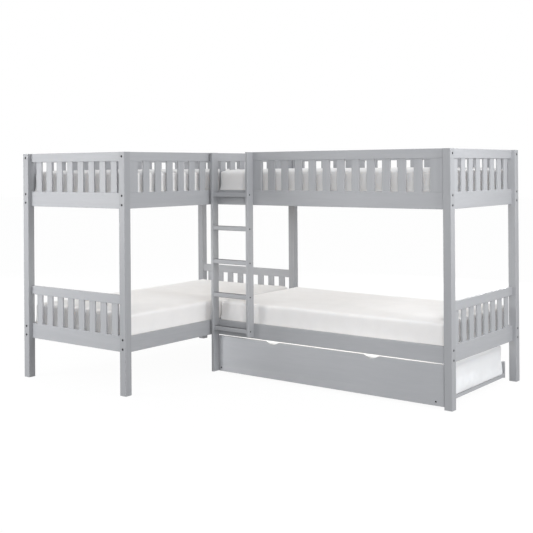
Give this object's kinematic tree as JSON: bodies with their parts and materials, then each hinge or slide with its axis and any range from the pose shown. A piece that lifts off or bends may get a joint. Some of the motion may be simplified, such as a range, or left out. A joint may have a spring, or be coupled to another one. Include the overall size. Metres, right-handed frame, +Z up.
{
  "type": "l shaped bunk bed",
  "caption": "L-shaped wooden bunk bed with slatted ends and guards, a fixed ladder in the inner corner, mattresses, and a trundle bed on casters with finger scallops.",
  "frame": {"origin": "on the floor, under the centre of the whole bed's outline", "axes": "+X to the right along the back bunk, +Y to the back along the left bunk, +Z up"},
  "size_m": [3.042, 2.019, 1.665],
  "materials": {
    "grey_paint": "satin light grey paint on wood",
    "bare_wood": "unpainted planed wood",
    "mattress_cloth": "matte off-white woven cover",
    "dark_steel": "satin black oxide",
    "zinc_steel": "zinc plated",
    "wheel_rubber": "matte"
  },
  "bodies": {
    "bed_frame": {"post_left_front": "grey_paint", "post_inner_front": "grey_paint", "post_left_back": "grey_paint", "post_shared_back": "grey_paint", "post_right_front": "grey_paint", "post_right_back": "grey_paint", "front_end_lower_rails": "grey_paint", "front_end_lower_slats": "grey_paint", "front_end_upper_rails": "grey_paint", "front_end_upper_slats": "grey_paint", "rear_end_lower_rails": "grey_paint", "rear_end_lower_slats": "grey_paint", "rear_end_upper_rails": "grey_paint", "rear_end_upper_slats": "grey_paint", "right_end_lower_rails": "grey_paint", "right_end_lower_slats": "grey_paint", "right_end_upper_rails": "grey_paint", "right_end_upper_slats": "grey_paint", "left_outer_lower_rail": "grey_paint", "left_inner_lower_rail": "grey_paint", "back_front_lower_rail": "grey_paint", "back_rear_lower_rail": "grey_paint", "left_outer_upper_rails": "grey_paint", "left_inner_upper_rails": "grey_paint", "back_front_upper_rails": "grey_paint", "back_rear_upper_rails": "grey_paint", "left_outer_guard": "grey_paint", "left_inner_guard": "grey_paint", "back_front_guard": "grey_paint", "back_rear_guard": "grey_paint", "deck_battens": "bare_wood", "left_lower_deck": "bare_wood", "left_upper_deck": "bare_wood", "back_lower_deck": "bare_wood", "back_upper_deck": "bare_wood", "left_lower_mattress": "mattress_cloth", "left_upper_mattress": "mattress_cloth", "back_lower_mattress": "mattress_cloth", "back_upper_mattress": "mattress_cloth", "ladder_leg": "grey_paint", "ladder_rail": "grey_paint", "ladder_rungs": "grey_paint", "ladder_bolts": "dark_steel", "frame_bolts": "dark_steel", "barrel_nuts": "zinc_steel", "ladder_screws": "dark_steel", "corner_brackets": "zinc_steel"},
    "trundle": {"trundle_front": "grey_paint", "trundle_back": "grey_paint", "trundle_end_battens": "grey_paint", "trundle_ledgers": "bare_wood", "trundle_deck": "bare_wood", "trundle_screws": "dark_steel", "trundle_mattress": "mattress_cloth", "caster_forks": "zinc_steel"},
    "wheel_front_left": {"wheel_front_left": "wheel_rubber"},
    "wheel_front_right": {"wheel_front_right": "wheel_rubber"},
    "wheel_rear_left": {"wheel_rear_left": "wheel_rubber"},
    "wheel_rear_right": {"wheel_rear_right": "wheel_rubber"}
  },
  "joints": [
    {"name": "trundle_slide", "type": "slide", "parent": "bed_frame", "child": "trundle", "axis": [0, -1, 0], "range_m": [0, 1]},
    {"name": "wheel_front_left_roll", "type": "hinge", "parent": "trundle", "child": "wheel_front_left", "pos_m": [-0.289, 0.0275, 0.02], "axis": [1, 0, 0], "continuous": true},
    {"name": "wheel_front_right_roll", "type": "hinge", "parent": "trundle", "child": "wheel_front_right", "pos_m": [1.334, 0.0275, 0.02], "axis": [1, 0, 0], "continuous": true},
    {"name": "wheel_rear_left_roll", "type": "hinge", "parent": "trundle", "child": "wheel_rear_left", "pos_m": [-0.289, 0.8375, 0.02], "axis": [1, 0, 0], "continuous": true},
    {"name": "wheel_rear_right_roll", "type": "hinge", "parent": "trundle", "child": "wheel_rear_right", "pos_m": [1.334, 0.8375, 0.02], "axis": [1, 0, 0], "continuous": true}
  ],
  "couplings": [
    {"joint": "wheel_front_left_roll", "follows": "trundle_slide", "rad_per_m": 50},
    {"joint": "wheel_front_right_roll", "follows": "trundle_slide", "rad_per_m": 50},
    {"joint": "wheel_rear_left_roll", "follows": "trundle_slide", "rad_per_m": 50},
    {"joint": "wheel_rear_right_roll", "follows": "trundle_slide", "rad_per_m": 50}
  ]
}
